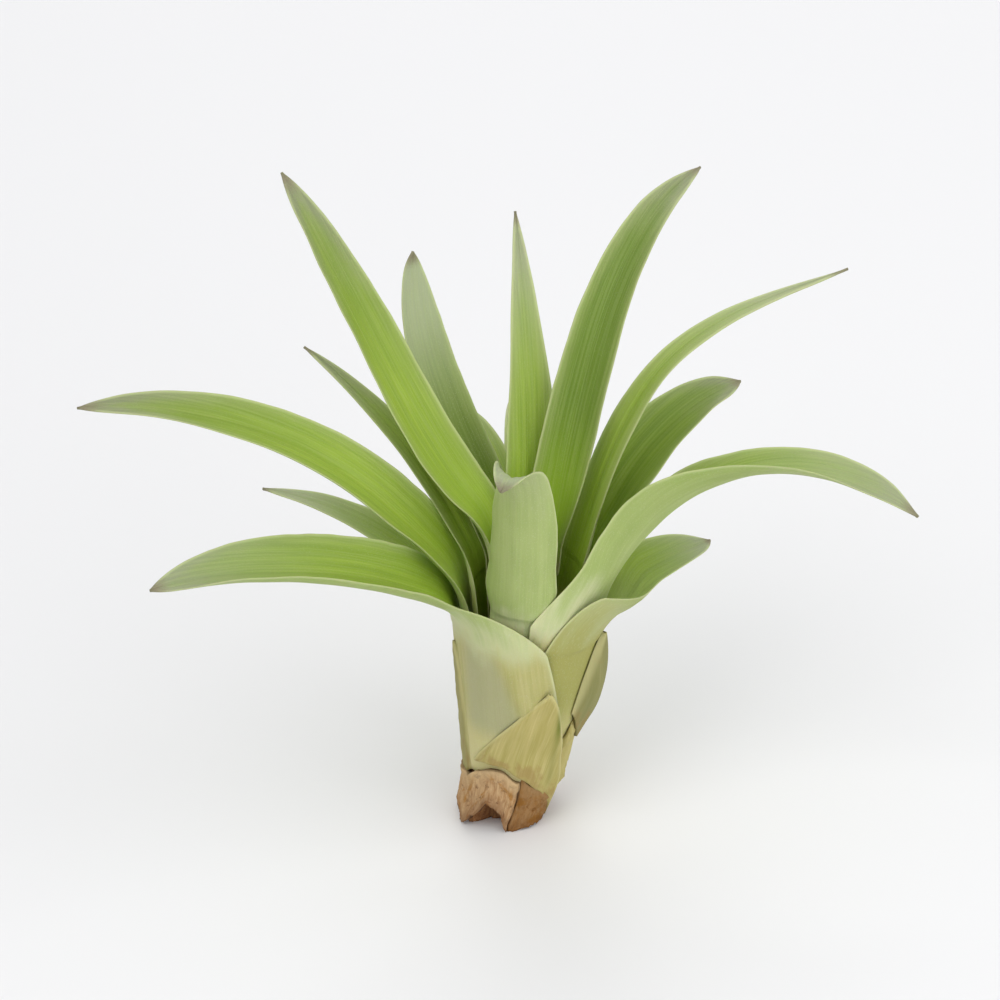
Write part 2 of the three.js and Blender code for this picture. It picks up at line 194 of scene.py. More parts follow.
def leaf_finish():
    """Living leaf: green inside the channel, silvery scurf outside and towards the tip.

    The pieces carry the numbers that it reads: reach is -1 at a sheath's foot, 0 where the
    blade leaves and 1 at the tip; from_edge is the distance to the margin; inner is 1 on the
    channel's face; a number that paints shade is 1 in the hollow beside a sheath's fold; silver,
    olive, the bloom of pale scurf that is also painted light low in the channel, and each leaf's
    painted light and shade differ from leaf to leaf."""
    f = Finish("leaf_skin")
    reach, from_edge, inner, streak_and_painted_shade = f.numbers("reach", "from_edge", "inner", "streak_and_painted_shade")
    silver, sun, olive, bloom = f.numbers("silver", "sun", "olive", "bloom")
    streaks = f.noise((1.3, 0.05, 1), detail=3, rough=0.6)
    veins = f.noise((4.2, 0.05, 1), detail=1.5)
    patches = f.noise((0.22, 0.10, 1))
    scurf = f.noise((7.0, 3.0, 1), detail=3, rough=0.65)
    specks = f.cells((5.0, 2.4, 1)).rise(0.32, 0.12)

    # The channel: green under a powder of scurf. Each leaf's number paints light, yellower and
    # brighter, above 0 and shade, deeper green, below 0; painted light lies low in the throat and
    # painted shade towards the tip
    band = from_edge.rise(2.4, 0.3) * (0.25 + 0.35 * patches + 0.2 * reach)
    frost = (reach + 0.35 * patches + 0.15 * scurf).rise(0.9, 1.35)
    # pale scurf low in the channel, which is also painted light there
    low_bloom = bloom * reach.rise(0.55, 0.1)
    dusting = silver * reach.rise(0.0, 0.6) * 0.4
    powder = f.mix(srgb(156, 170, 100), srgb(134, 142, 104), reach.rise(0.55, 0.95))
    channel = f.coats(
        srgb(124, 152, 40),
        (srgb(144, 170, 52), streaks.rise(0.3, 0.7)),
        # painted light and painted shade of the whole leaf
        (srgb(166, 190, 70), sun.clamped()),
        (srgb(92, 120, 30), (0 - sun).clamped()),
        # painted shade: darker towards the tip
        (srgb(100, 122, 50), reach.rise(0.35, 0.85) * 0.45),
        # painted light: brighter and yellower low in the throat
        (srgb(164, 198, 50), reach.rise(0.35, 0.0) * 0.7),
        (powder, (band + frost + dusting + low_bloom).clamped()),
        (srgb(184, 192, 158), silver * reach.rise(0.4, 0.85) * 0.8),
    )

    # The outside: pale green, nearly cream just above the ragged line where the sheath ends
    turn = reach + 0.3 * patches + 0.12 * streaks - 0.21 - 0.16 * olive
    pale = (0.5 * streaks + 0.5 * patches + 0.4 * silver - 0.2).rise(0.15, 0.75)
    outside = f.coats(
        srgb(138, 160, 74),
        (srgb(164, 180, 106), pale),
        (srgb(146, 150, 84), olive * reach.rise(0.5, 0.1) * 0.8),
        (srgb(164, 172, 126), (reach + 0.4 * patches).rise(0.7, 1.3)),
        (srgb(186, 194, 146), silver * (0.2 + 0.5 * scurf)),
        (srgb(208, 212, 170), turn.rise(0.14, -0.02) * (0.85 - 0.6 * olive)),
    )

    # The sheath: khaki, paler at its foot, with painted shade, greyer, in the hollow beside the fold
    sheath = f.coats(
        srgb(192, 186, 128),
        (srgb(174, 170, 104), streaks.rise(0.3, 0.7)),
        (srgb(156, 155, 80), olive),
        (srgb(210, 202, 146), reach.rise(-0.4, -0.9) * 0.7),
        # painted shade in the hollow beside the fold
        (srgb(166, 166, 126), streak_and_painted_shade * 0.8),
    )
    sheathed = (1 - inner) * turn.rise(0.08, -0.16) + inner * reach.rise(-0.3, -0.8)

    # The whole leaf, with faint veins, pale margins, specks of scurf and a dry tip
    rim = from_edge.rise(0.55, 0.05) * 0.5 + from_edge.rise(1.6, 0.1) * reach.rise(0.1, -0.1) * 0.3
    dry = (reach + 0.04 * scurf + 0.02 * patches).rise(0.965, 1.02)
    colour = f.coats(
        outside,
        (channel, inner),
        (srgb(190, 204, 130), veins.rise(0.42, 0.62) * 0.12),
        (sheath, sheathed),
        (srgb(202, 206, 156), rim.clamped()),
        (srgb(208, 212, 182), specks * (0.18 + 0.25 * silver) * (1 - 0.5 * inner)),
        (srgb(136, 130, 104), dry),
    )
    f.relief(scurf * 0.5 + veins * 0.8 + specks * 0.3, 0.08)
    return f.surface(
        Base_Color=colour,
        Roughness=0.5 + 0.16 * scurf + 0.1 * silver,
        Specular_IOR_Level=0.35,
        Subsurface_Weight=0.22,
        Subsurface_Radius=(0.5, 0.9, 0.25),
        Subsurface_Scale=0.0009,
    )


def scale_finish():
    """Outer scales: khaki and cream, with olive and brown streaks from foot to point.

    reach runs from 0 at the foot to 1 at the point, and the number for the green streak, which on
    leaves paints shade in the hollow beside a fold, is 1 in the streak."""
    f = Finish("outer_scale")
    reach, from_edge, inner, streak_and_painted_shade, olive = f.numbers("reach", "from_edge", "inner", "streak_and_painted_shade", "olive")
    streaks = f.noise((1.1, 0.06, 1), detail=4, rough=0.6)
    fibres = f.noise((5.5, 0.12, 1))
    blotches = f.noise((0.35, 0.22, 1), detail=3, rough=0.6)
    scurf = f.noise((7.0, 3.0, 1), detail=3, rough=0.65)
    stain = (blotches + 0.2 * reach.rise(0.4, 0.0)).rise(0.6, 0.8)
    colour = f.coats(
        srgb(186, 174, 112),
        (srgb(166, 156, 88), streaks.rise(0.3, 0.7)),
        (srgb(208, 198, 140), fibres.rise(0.5, 0.75) * 0.35),
        # olive-brown, which on the left scale is painted shade
        (srgb(116, 120, 74), olive * (0.75 + 0.3 * streaks)),
        (srgb(150, 118, 66), stain * 0.5),
        (srgb(112, 118, 40), streak_and_painted_shade),
        (srgb(208, 202, 146), from_edge.rise(0.8, 0.05) * 0.55),
        (srgb(112, 96, 52), inner * 0.5),
    )
    f.relief(fibres * 0.7 + scurf * 0.4, 0.1)
    return f.surface(
        Base_Color=colour,
        Roughness=0.58 + 0.2 * scurf,
        Specular_IOR_Level=0.3,
        Subsurface_Weight=0.2,
        Subsurface_Radius=(0.8, 0.7, 0.35),
        Subsurface_Scale=0.0008,
    )


def husk_finish():
    """Dry torn bark of the foot: tan, with darker fibres and orange-brown stains.

    The number called olive says how stained a husk is as a whole."""
    f = Finish("dry_husk")
    inner, reach, stained = f.numbers("inner", "reach", "olive")
    fibres = f.noise((2.6, 0.45, 1), detail=4, rough=0.65, twist=0.6)
    stains = f.noise((0.32, 0.32, 1), detail=4, rough=0.6, twist=0.4)
    grit = f.noise((5.0, 5.0, 1), detail=4, rough=0.75)
    lumps = f.noise((0.9, 0.9, 1), detail=3, rough=0.6, twist=0.5)
    colour = f.coats(
        srgb(208, 174, 130),
        (srgb(174, 132, 88), fibres.rise(0.3, 0.75)),
        (srgb(176, 122, 50), stains.rise(0.5, 0.64) * 0.8),
        (srgb(104, 66, 38), lumps.rise(0.44, 0.28) * 0.75),
        (srgb(228, 202, 164), (0.6 * grit + 0.4 * lumps).rise(0.54, 0.7) * 0.6),
        (srgb(222, 194, 146), reach.rise(0.6, 1.0) * 0.6),
        (srgb(126, 82, 52), (reach + 0.3 * lumps).rise(0.6, 0.1) * 0.6),
        (srgb(132, 86, 24), stained * (0.6 + 0.6 * stains)),
        (srgb(64, 36, 20), inner * 0.8),
    )
    f.relief(fibres * 0.5 + grit * 0.6 + lumps * 0.8, 0.35)
    return f.surface(Base_Color=colour, Roughness=0.78 + 0.15 * grit, Specular_IOR_Level=0.2)


def wood_finish():
    """Broken stem: dark brown pith with paler fibres."""
    f = Finish("stem_wood")
    fibres = f.noise((2.6, 0.5, 1), detail=4, rough=0.65)
    grit = f.noise((4.0, 4.0, 1), detail=3, rough=0.7)
    colour = f.coats(
        srgb(124, 82, 50),
        (srgb(170, 122, 78), fibres.rise(0.35, 0.7)),
        (srgb(176, 134, 90), grit.rise(0.55, 0.72) * 0.6),
    )
    f.relief(fibres * 0.6 + grit * 0.5, 0.35)
    return f.surface(Base_Color=colour, Roughness=0.85, Specular_IOR_Level=0.15)


# The plant's measures, as in the part's source

LEAN = 11  # the stalk leans towards +X above its flat foot
STALK_OFFSET = 1.2  # its axis stands this far to the right of the foot's middle
FOOT_BLEND = 8  # height over which the foot's middle passes over to the stalk's axis
GROUND_BLEND = 12  # height over which level rings turn square to the leaning axis

# Sheaths lie in layers round the stem: 0 for the outermost wide ones, higher for the younger
# ones inside them, -1 for the scales, the husks and one narrow leaf outside them.
REFERENCE_HEIGHT = 38  # height along the stalk at which LAYER_RADIUS holds
LAYER_RADIUS = 13
LAYER_STEP = 0.9  # each layer lies this much further in
FLARE = 0.155  # growth of a sheath's radius with height
OUTER_LAYER = -1
LOWEST_SHEATH = 10  # height at which the outermost sheaths start
SHEATH_CLIMB = 3.25  # each layer further in starts this much higher
STEM_TOP = 46
THROAT_CLASP = 0.67  # share of its wrap that a sheath still has where its blade leaves it

CHANNEL_RADIUS = 6.2  # radius of a blade's channel low down, and TIP_CHANNEL of it at the tip
TIP_CHANNEL = 0.6
DEEPEST_ARC = 1.4  # half angle in radians of the deepest channel in a blade
UNROLL = 0.14  # share of the blade in which it turns from the sheath's rise to its own
CHANNEL_DELAY = 1.8  # a blade's channel is formed this many times as far up as its opening
SHEATH_RISE = math.degrees(math.atan(1 / FLARE))
TIP_WIDTH = 0.35

# Walls are finer than in the source.
SHEATH_WALL = 0.5
BLADE_WALL, TIP_WALL = 0.95, 0.45  # in the middle of a blade, near its base and at its tip
MARGIN_WALL = 0.16
SCALE_WALL = 0.45

# Numbers of points along and across the leaves' meshes
SHEATH_ROWS = 30
BLADE_STEPS = 120
LEAF_COLUMNS = 26

# Leaves, roughly from the outside in. azimuth: the side it grows from, 0 at the right and 270
# at the front. layer: where its sheath lies. throat: height at which the blade leaves it. wrap:
# half angle of the sheath's foot, of which the share clasp is left at the throat. skew: turn of
# the sheath round the stalk. opening: share of the blade over which it narrows from the sheath.
# length, width: of the blade. rises: its slope at even steps from base to tip. swing: how far
# the tip turns round the stalk. late: power by which the swing gathers towards the tip. roll:
# turn about the midrib. fullness: how long the blade keeps its width before it tapers. One leaf,
# rolled into a deep channel, gives its widths, bends (radii of the channel) and rolls at even
# steps instead. keel: height of the ridge along the outside. folded: has the fold down its
# sheath. columns: number of points across its mesh. silver: how much pale scurf shows. The
# leaf's painted light and shade: yellow and bright above 0, deep green below. olive: how
# yellow-brown the sheath is. The bloom: pale scurf low in the channel, and painted light there.
LEAVES = [
    dict(name="leaf_left_low", azimuth=197, layer=0, throat=37, wrap=125, clasp=0.66, length=60,
         width=15, rises=[28, 20, 13, 6, -1, -12], roll=-14, fullness=4, columns=60,
         silver=0.25, sun=0.1, folded=True),
    dict(name="leaf_right_low", azimuth=15, layer=1, throat=37, wrap=68, skew=-34, clasp=0.95,
         opening=0.5, length=25, width=12, rises=[40, 26, 14, 8, 4], swing=20, roll=10,
         fullness=3, columns=44, silver=0.3, sun=0.1, olive=0.9, bloom=0.6),
    dict(name="leaf_left_back", azimuth=150, layer=OUTER_LAYER, throat=34, wrap=14, length=42.5,
         width=9.5, rises=[34, 20, 11, 2, -8], roll=-5, fullness=2, silver=0.5, sun=-0.2),
    dict(name="leaf_right_arching", azimuth=346, layer=2, throat=42.5, wrap=68, skew=-14,
         clasp=1, length=67, rises=[64, 54, 38, 20, 0, -16, -36],
         widths=[28.2, 22, 18.6, 17.6, 15.8, 13, 11.4, 10, 8.4, 5.6, TIP_WIDTH],
         bends=[11.9, 10.6, 8.4, 6.8, 6.2, 6, 6, 6, 5.6, 5, 4],
         rolls=[0, -4, -15, -21, -20, -16, -10, -4, 4, 10, 10],
         columns=44, silver=0.3, sun=0.0, olive=-0.1, bloom=1.0),
    dict(name="leaf_left_arching", azimuth=176, layer=2, throat=38, wrap=36, length=80, width=12,
         rises=[48, 40, 27, 15, 3, -12], roll=-26, fullness=3, silver=0.0, sun=0.2),
    dict(name="leaf_back_right_low", azimuth=90, layer=2, throat=41, wrap=15, length=44, width=9,
         rises=[40, 22, 8, -4, -16], fullness=2.5, silver=0.2, sun=0.1),
    dict(name="leaf_front", azimuth=250, layer=3.5, throat=43, wrap=40, length=39, width=14,
         rises=[80, 78, 76, 76, 66, 40, -50], swing=-10, late=4, fullness=5, silver=0.45,
         sun=0.3, keel=0.5, olive=-0.4),
    dict(name="leaf_back_low", azimuth=106, layer=3, throat=43, wrap=56, length=44, width=9,
         rises=[38, 22, 6, -8, -22], fullness=2.5, silver=0.2, sun=0.1),
    dict(name="leaf_right_broad", azimuth=33, layer=4.2, throat=45, wrap=30, length=44, width=12,
         rises=[62, 52, 38, 20, 0], roll=22, fullness=4, silver=0.0, sun=-0.3),
    dict(name="leaf_left_narrow", azimuth=157, layer=4, throat=43, wrap=50, length=49.5,
         width=7.8, rises=[59, 50, 43, 36, 28], roll=-13, fullness=2, silver=0.1, sun=0.2),
    dict(name="leaf_back_middle", azimuth=88, layer=5, throat=45, wrap=38, length=44, width=7,
         rises=[60, 46, 34, 26, 20], fullness=2, silver=0.5, sun=0.1),
    dict(name="leaf_left_tall", azimuth=161, layer=8, throat=48, wrap=50, length=75, width=10.4,
         rises=[45, 55, 59, 58, 58, 55], roll=-31, fullness=4.3, silver=0.0, sun=0.2),
    dict(name="leaf_right_narrow", azimuth=22, layer=7, throat=47, wrap=50, length=74, width=7.5,
         rises=[78, 72, 58, 36, 18, 12, 14], roll=10, fullness=1.3, silver=0.4, sun=0.1),
    dict(name="leaf_back_left_blunt", azimuth=134, layer=6, throat=46, wrap=30, length=54.3,
         width=11.7, rises=[51, 51, 58, 73, 95], roll=-9, fullness=5, silver=0.9, sun=-0.8),
    dict(name="leaf_right_tall", azimuth=54, layer=11, throat=50, wrap=50, length=75, width=10.5,
         rises=[80, 74, 70, 58, 38, 14, 2], roll=10, fullness=3, silver=0.0, sun=-0.8),
    dict(name="leaf_back_upright", azimuth=101, layer=9.7, throat=53, wrap=30, length=52, width=12,
         rises=[80, 68, 60, 56, 52], fullness=1, silver=0.35, sun=0.1),
    dict(name="heart_leaf_left", azimuth=205, layer=12, throat=50, wrap=70, length=13, width=5,
         rises=[84, 82, 80], fullness=1.5, silver=0.1, sun=0.8),
    dict(name="heart_leaf_right", azimuth=285, layer=13, throat=51, wrap=70, length=9, width=4.5,
         rises=[84, 82, 80], fullness=1.5, silver=0.1, sun=0.8),
]

# Outer scales, short leaf bases that hug the stalk up to a point. low: heights of the foot from
# one side to the other. top: height of the point. wrap: half angle at the foot. skew: turn of
# the point round the stalk. lift: how far the point stands off. bulge: how far the middle swells
# out. tapers: powers by which the left and the right margin draw in towards the point. olive:
# how green-brown it is, and on the left scale painted shade. streaked: has the green streak.
SCALES = [
    dict(name="scale_front", azimuth=270, wrap=56, skew=14, lift=0, top=30, tapers=(1, 0.7),
         low=[12.6, 13.8, 13.9, 11.8, 9, 5.2, 0.4], streaked=True),
    dict(name="scale_right", azimuth=345, layer=0, wrap=26, skew=-6, lift=0.1, top=38,
         low=[23, 19, 16, 17, 22], bulge=2.0, olive=0.8),
    # On the left scale, olive is painted shade: the shadow under the low left leaf and along the
    # scale's right margin
    dict(name="scale_left", azimuth=188, layer=-0.45, wrap=20, skew=2, lift=0, top=34,
         low=[9, 8, 10], olive=0.5),
    dict(name="scale_back", azimuth=90, wrap=42, skew=-20, lift=0.3, top=28, low=[7, 7, 9]),
    dict(name="scale_back_right", azimuth=25, wrap=17, skew=0, lift=0.3, top=24, low=[8, 8]),
]

# Dry torn husks round the foot. low and high: heights of the ragged edges from one side to the
# other, at even steps. thick: wall at the foot. olive: how stained it is. straw: as pale and
# smooth as the scales.
HUSKS = [
    dict(name="husk_front_left", azimuth=221, wrap=46, low=[0, 0, 0.5, 2.6, 5.6, 4.4, 0],
         high=[9.6, 9, 9.2, 10.8, 12.6, 12.4, 10.6], thick=1.6),
    dict(name="husk_front_right", azimuth=295, wrap=25, low=[0, 0.5, 0], high=[11.4, 8.4, 3],
         thick=1.3, olive=0.7),
    dict(name="husk_right", azimuth=342, layer=0.3, wrap=32, low=[0.6, 2.2, 3.6, 3.6, 3.8],
         high=[17, 21, 22, 20, 14], thick=0.6, straw=True),
    dict(name="husk_back", azimuth=62, wrap=41, low=[0, 0.6, 0.2, 0], high=[5, 6, 4.6, 6],
         thick=0.9),
    dict(name="husk_left", azimuth=139, wrap=33, low=[0, 0.5, 0], high=[6, 6, 7], thick=0.9),
]

# Heights and radii of the stem, of the hollow in its broken foot and of the bud
STEM_PROFILE = [
    (0, 7.1), (1.5, 7.2), (3.5, 7.1), (5.5, 7.3), (9, 7.5), (13, 7.5), (16, 7), (20, 6.8),
    (24, 6.4), (30, 5.6), (36, 4.7), (40, 3.8), (42, 3), (44, 2.2), (STEM_TOP, 1.2),
]
HOLLOW_PROFILE = [(3.2, 0.8), (2.0, 1.6), (1.3, 3.4), (0.9, 4.8), (0.4, 6.2)]
BUD_PROFILE = [(47, 1.2), (49, 1.9), (54, 1.8), (60, 1.2), (64, 0.4)]

# Where wood broke out of the foot's side
NOTCH = dict(azimuth=240, half_width=34, depth=3.4, top=5)

# The fold down the lowest sheath: its azimuth at a height, how far it moves to the right with
# each millimetre further down, and how far the sheath stands out on its right
FOLD = dict(azimuth=235, height=39.4, drift=1.97, stands=0.45)

# The green streak down the front scale
STREAK = dict(azimuth=298, spread=4)

# Radii at which lengths round the stalk and round the stem are measured
STALK_ARC, STEM_ARC = 9, 7

# The wood's and the bud's place in the grain, and the step in it from a sheet's outer face to
# its inner face, so that no two share their marks
WOOD_GRAIN, BUD_GRAIN, FACE_GRAIN = 3.0, 5.0, 7.3


# Shapes


def smooth(value, low, high):
    t = np.clip((value - low) / (high - low), 0, 1)
    return t * t * (3 - 2 * t)


def lerp(a, b, t):
    return a + (b - a) * t


def along(values, t):
    return np.interp(t, np.linspace(0, 1, len(values)), values)


def flowing(values, t):
    """Value at t from 0 to 1 on a smooth curve through a list of evenly spaced values."""
    place = min(max(t, 0), 1) * (len(values) - 1)
    first = min(int(place), len(values) - 2)
    share = place - first
    ends = [2 * values[0] - values[1], *values, 2 * values[-1] - values[-2]]
    before, low, high, after = ends[first:first + 4]
    return low + 0.5 * share * (
        high - before + share * (2 * before - 5 * low + 4 * high - after
                                 + share * (3 * (low - high) + after - before)))


def ragged(heights, u):
    """Heights of a plate's edge from one side to the other, rounded between the given ones."""
    rounding = 0.6
    place = np.clip(u, 0, 1) * (len(heights) - 1)
    first = np.minimum(place.astype(int), len(heights) - 2)
    share = lerp(place - first, smooth(place - first, 0, 1), rounding)
    heights = np.array(heights, float)
    return lerp(heights[first], heights[first + 1], share)


def direction(rise, azimuth):
    rise, azimuth = math.radians(rise), math.radians(azimuth)
    level = math.cos(rise)
    return np.array([level * math.cos(azimuth), level * math.sin(azimuth), math.sin(rise)])


def turned(vector, axis, angle):
    """vector turned about a unit axis."""
    c, s = math.cos(angle), math.sin(angle)
    return vector * c + np.cross(axis, vector) * s + axis * (axis @ vector) * (1 - c)


def layer_radius(layer, height):
    return LAYER_RADIUS - LAYER_STEP * layer + FLARE * (height - REFERENCE_HEIGHT)


def sheath_foot(layer):
    return min(max(LOWEST_SHEATH + SHEATH_CLIMB * layer, LOWEST_SHEATH), STEM_TOP)


def waves(seed, shortest, longest, count=5):
    """A smooth, irregular line of values from about -1 to 1 along a length in millimetres."""
    draw = random.Random(seed)
    parts = [(draw.uniform(shortest, longest), draw.uniform(0, 2 * math.pi)) for _ in range(count)]
    return lambda s: sum(
        np.sin(2 * np.pi * s / size + phase) for size, phase in parts) / count * 1.6


def rumple(seed, shortest, longest, count=7):
    """The same over a surface: values for two lengths in millimetres."""
    draw = random.Random(seed)
    parts = []
    for _ in range(count):
        turn, size = draw.uniform(0, math.pi), draw.uniform(shortest, longest)
        parts.append((math.cos(turn) / size, math.sin(turn) / size, draw.uniform(0, 2 * math.pi)))
    return lambda a, b: sum(
        np.sin(2 * np.pi * (a * x + b * y) + phase) for x, y, phase in parts) / count * 1.8


def leaned(rings):
    """From the stalk's own upright frame to the plant's, in metres, and nowhere below ground."""
    rings = np.array(rings)
    c, s = math.cos(math.radians(LEAN)), math.sin(math.radians(LEAN))
    x, y, z = rings[..., 0], rings[..., 1], rings[..., 2]
    return np.stack([x * c + z * s + STALK_OFFSET, y, np.maximum(z * c - x * s, 0)], -1) * MM


def ring_grain(round_way, run, face):
    """Where a ring's points lie on their piece: across it, along it, and on which face."""
    return np.stack(np.broadcast_arrays(round_way, run, face), -1)


def add_piece(name, rings, faces, numbers, grain, finish, node):
    """One mesh from rings of points, with the numbers that its finish reads."""
    rings = leaned(rings)
    mesh = bpy.data.meshes.new(name)
    mesh.from_pydata(rings.reshape(-1, 3).tolist(), [], faces)
    for key, values in numbers.items():
        layer = mesh.attributes.new(key, "FLOAT", "POINT")
        spread = np.broadcast_to(values, rings.shape[:2]).astype(np.float32)
        layer.data.foreach_set("value", np.ascontiguousarray(spread).ravel())
    layer = mesh.attributes.new("grain", "FLOAT_VECTOR", "POINT")
    layer.data.foreach_set("vector", np.array(grain).astype(np.float32).ravel())
    mesh.polygons.foreach_set("use_smooth", [True] * len(mesh.polygons))
    mesh.materials.append(finish)
    mesh.update()
    piece = bpy.data.objects.new(name, mesh)
    bpy.context.scene.collection.objects.link(piece)
    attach(piece, "root")
    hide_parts(node)


def side_faces(rows, ring):
    """Faces between each ring of points and the next."""
    faces = []
    for row in range(rows - 1):
        for k in range(ring):
            n = (k + 1) % ring
            a, b = row * ring, (row + 1) * ring
            faces.append((a + k, a + n, b + n, b + k))
    return faces


def sheet_faces(rows, columns):
    """Faces of a closed thin sheet whose rings run along the outer face, round one margin,
    back along the inner face and round the other margin."""
    ring = 2 * columns + 4
    faces = side_faces(rows, ring)
    for base, flip in ((0, True), ((rows - 1) * ring, False)):
        for c in range(-1, columns + 1):
            corners = [c % ring, c + 1, 2 * columns + 2 - c, (2 * columns + 3 - c) % ring]
            corners = [base + k for k in dict.fromkeys(corners)]
            if len(corners) > 2:
                faces.append(tuple(reversed(corners)) if flip else tuple(corners))
    return faces


def round_faces(rows, sides):
    """Faces of a closed round piece."""
    foot, top = range(sides), range((rows - 1) * sides, rows * sides)
    return [*side_faces(rows, sides), tuple(reversed(foot)), tuple(top)]


def sheet_ring(outer, inner):
    """One ring from the outer and inner points of a section, with a rounded margin each side."""
    roundness = 0.42

    def margin(o, i, o2, i2):
        middle, reach = (o + i) / 2, (o + i - o2 - i2)
        reach /= max(np.linalg.norm(reach), 1e-9)
        return middle + reach * np.linalg.norm(o - i) * roundness

    right = margin(outer[-1], inner[-1], outer[-2], inner[-2])
    left = margin(outer[0], inner[0], outer[1], inner[1])
    return np.concatenate([outer, [right], inner[::-1], [left]])


class Sheet:
    """A closed thin sheet, built ring by ring. v: where its columns lie, from -1 to 1 across."""

    def __init__(self, v, seed):
        self.v, self.seed = v, seed
        self.across = np.concatenate([v, [1], v[::-1], [-1]])
        self.inner = np.concatenate([np.zeros_like(v), [0.5], np.ones_like(v), [0.5]])
        self.rings, self.grain, self.reach, self.from_edge, self.streak_and_painted_shade = [], [], [], [], []

    def add_ring(self, outer, inner, reach, half_width, run, streak_and_painted_shade):
        """The number for the green streak and for painted shade in a fold's hollow is for the outer
        face alone.
        """
        self.rings.append(sheet_ring(outer, inner))
        self.grain.append(ring_grain(
            self.across * half_width, run, self.seed + self.inner * FACE_GRAIN))
        self.reach.append([reach])
        self.from_edge.append((1 - np.abs(self.across)) * half_width)
        plain = np.zeros_like(self.v)
        self.streak_and_painted_shade.append(np.concatenate([plain + streak_and_painted_shade, [0], plain, [0]]))

    def add_to_scene(self, node, finish, slot, **own):
        """own: numbers that are the same all over the piece."""
        numbers = dict(inner=self.inner, reach=self.reach, from_edge=self.from_edge,
                       streak_and_painted_shade=self.streak_and_painted_shade, **own)
        faces = sheet_faces(len(self.rings), len(self.v) - 1)
        add_piece(node + "_skin", self.rings, faces, numbers, self.grain, finish, node)


def on_sheath(leaf, height):
    """The middle of a leaf's sheath at a height, and its radius there."""
    radius = layer_radius(leaf["layer"], height)
    point = direction(0, leaf["azimuth"]) * radius
    point[2] = height
    return point, radius


def sheath_sections(leaf):
    """Sections of a leaf's sheath, from its foot to just below the throat."""
    foot, throat = sheath_foot(leaf["layer"]), leaf["throat"]
    for row in range(SHEATH_ROWS):
        share = row / SHEATH_ROWS
        height = lerp(foot, throat, share)
        centre, radius = on_sheath(leaf, height)
        half_wrap = math.radians(leaf["wrap"]) * lerp(1, leaf.get("clasp", THROAT_CLASP), share)
        yield dict(
            centre=centre, plane=90, azimuth=leaf["azimuth"], roll=0, width=2 * half_wrap * radius,
            radius=radius, skew=math.radians(leaf.get("skew", 0)), reach=share - 1,
            run=height - throat)


def tapering_form(leaf, t, throat_radius, throat_half, opened, unrolled):
    """Width, bend radius and roll at t of a blade that opens from its sheath and tapers."""
    blade = max(leaf["width"] * (1 - t ** leaf["fullness"]) ** 0.8, TIP_WIDTH)
    channel = lerp(1, TIP_CHANNEL, smooth(t, 0.3, 1)) * CHANNEL_RADIUS
    width = lerp(2 * throat_half * throat_radius, blade, opened)
    return width, lerp(throat_radius, channel, unrolled), leaf.get("roll", 0) * smooth(t, 0, 0.3)


def given_form(leaf, t):
    """The same of a blade whose form is given in lists."""
    return [flowing(leaf[key], t) for key in ("widths", "bends", "rolls")]


def blade_sections(leaf):
    """Sections of a leaf's blade, from the throat to the tip."""
    opening = leaf.get("opening", UNROLL)
    point, throat_radius = on_sheath(leaf, leaf["throat"])
    throat_half = math.radians(leaf["wrap"]) * leaf.get("clasp", THROAT_CLASP)
    for step in range(BLADE_STEPS + 1):
        t = step / BLADE_STEPS
        if t < UNROLL:
            rise = lerp(SHEATH_RISE, leaf["rises"][0], t / UNROLL)
        else:
            rise = along(leaf["rises"], (t - UNROLL) / (1 - UNROLL))
        azimuth = leaf["azimuth"] + leaf.get("swing", 0) * t ** leaf.get("late", 1)
        opened, unrolled = smooth(t, 0, opening), smooth(t, 0, CHANNEL_DELAY * opening)
        if "widths" in leaf:
            width, bend, roll = given_form(leaf, t)
        else:
            width, bend, roll = tapering_form(
                leaf, t, throat_radius, throat_half, opened, unrolled)
        deepest = lerp(max(throat_half, DEEPEST_ARC), DEEPEST_ARC, unrolled)
        yield dict(
            centre=point.copy(), plane=lerp(90, rise, smooth(t, 0, UNROLL)), azimuth=azimuth,
            roll=roll, width=width, radius=max(bend, width / (2 * deepest)),
            skew=math.radians(leaf.get("skew", 0)) * (1 - opened), reach=t, run=t * leaf["length"])
        point += direction(rise, azimuth) * leaf["length"] / BLADE_STEPS


def sheath_fold(azimuth, height):
    """A fold that runs down across the front of the lowest sheath: how far the sheath stands
    out on its right, and the painted shade in the hollow on its left."""
    fold = FOLD["azimuth"] + FOLD["drift"] * (FOLD["height"] - height)
    right = azimuth - fold
    out = FOLD["stands"] * smooth(right, -1.5, 1.5) * (1 - smooth(right, 6, 34))
    hollow = smooth(azimuth, 200, 218) * (1 - smooth(right, -10, 3))
    within = smooth(height, 17, 22) * (1 - smooth(height, 34, 40))
    return out * within, hollow * within


